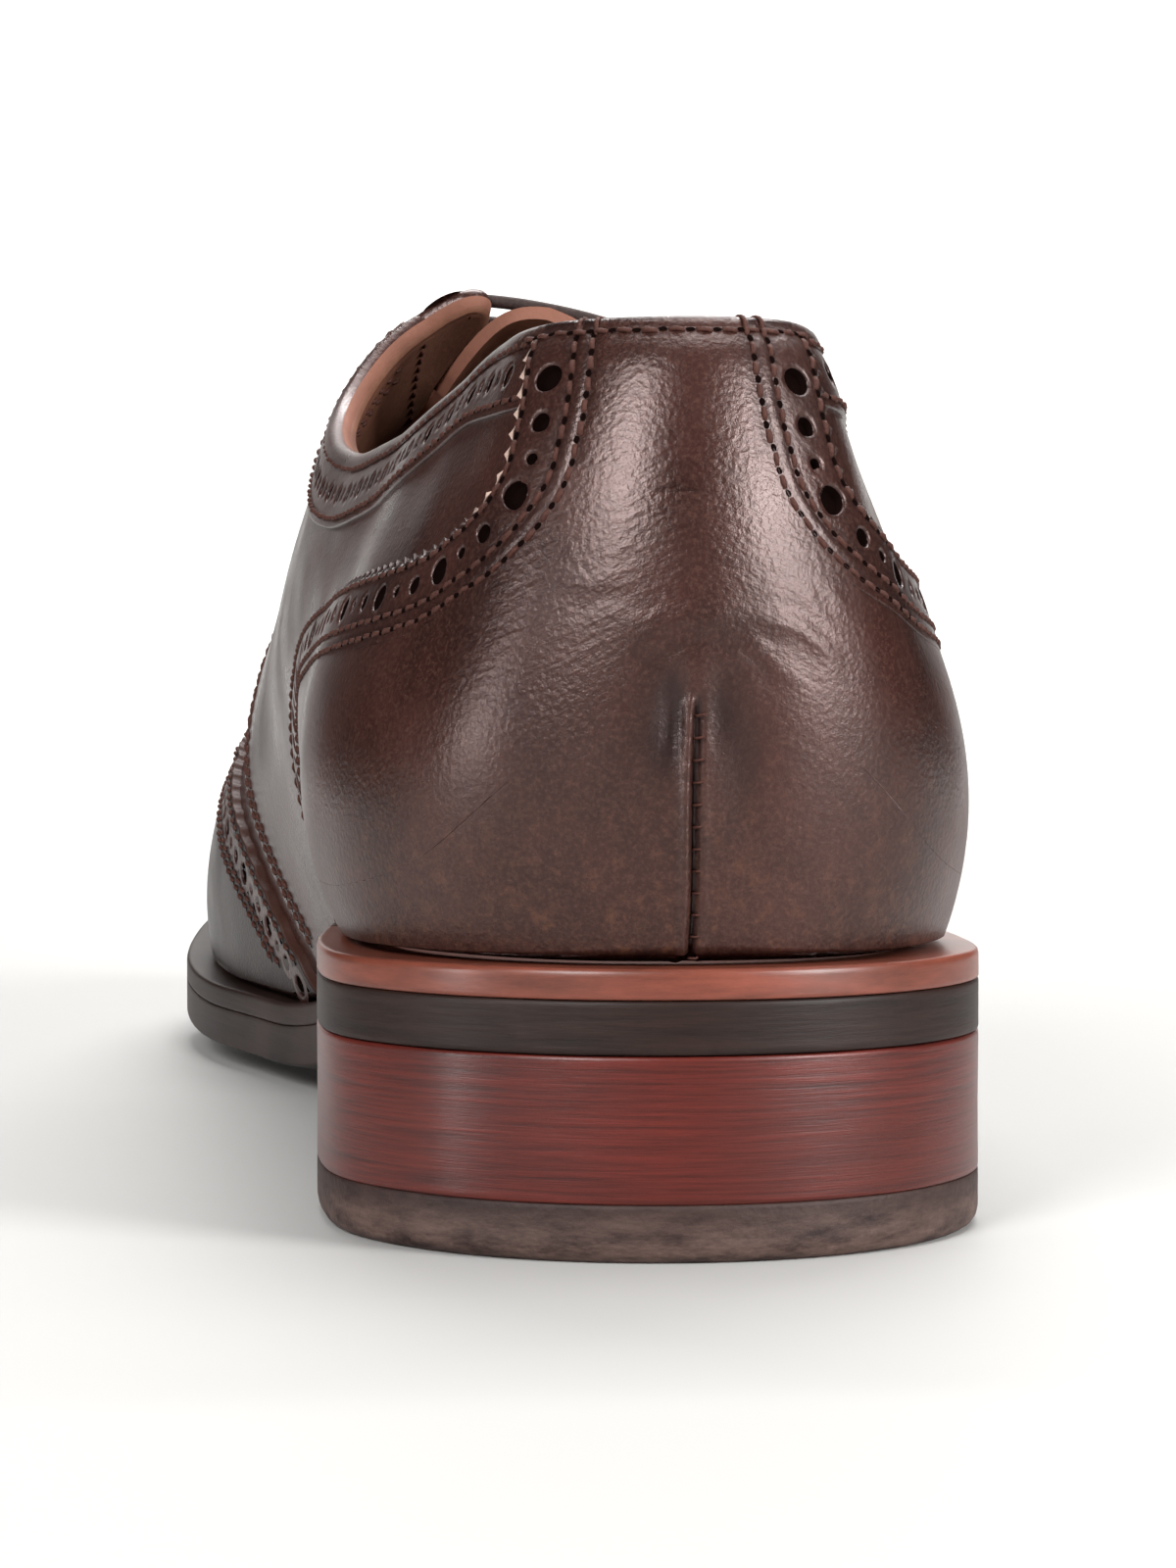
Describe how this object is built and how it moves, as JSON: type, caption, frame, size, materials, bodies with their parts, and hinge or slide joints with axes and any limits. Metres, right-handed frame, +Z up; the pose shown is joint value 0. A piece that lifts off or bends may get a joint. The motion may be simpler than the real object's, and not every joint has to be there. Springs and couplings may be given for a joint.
{
  "type": "brogue shoe",
  "caption": "Right full-brogue derby shoe with wing cap, perforated heel counter, open lacing and a stacked leather heel.",
  "frame": {"origin": "centre of the bounding box on the floor under heel and forefoot", "axes": "+Y from heel to toe, +X to the lateral (right) side, +Z up"},
  "size_m": [0.0994, 0.304, 0.1086],
  "materials": {
    "outsole": "dark edge-dyed sole leather",
    "welt": "dark edge-dyed welt leather",
    "heel_rand": "tan vegetable-tanned strip",
    "heel_stack": "red-brown polished stacked leather",
    "top_lift": "dark brown rubber, scuffed",
    "insole": "tan insole leather",
    "upper": "semi-gloss dark-brown calf with tan lining",
    "toe_cap": "semi-gloss dark-brown calf",
    "quarter_lateral": "semi-gloss dark-brown calf",
    "quarter_medial": "semi-gloss dark-brown calf",
    "counter": "semi-gloss dark-brown calf",
    "collar_band_lateral": "semi-gloss dark-brown calf",
    "collar_band_medial": "semi-gloss dark-brown calf",
    "tongue": "brown leather with raw tan edge",
    "lace": "dark waxed round cord"
  },
  "bodies": {
    "root": {"outsole": "outsole", "welt": "welt", "heel_rand": "heel_rand", "heel_stack": "heel_stack", "top_lift": "top_lift", "insole": "insole", "upper": "upper", "toe_cap": "toe_cap", "quarter_lateral": "quarter_lateral", "quarter_medial": "quarter_medial", "counter": "counter", "collar_band_lateral": "collar_band_lateral", "collar_band_medial": "collar_band_medial", "tongue": "tongue", "lace": "lace"}
  },
  "joints": []
}
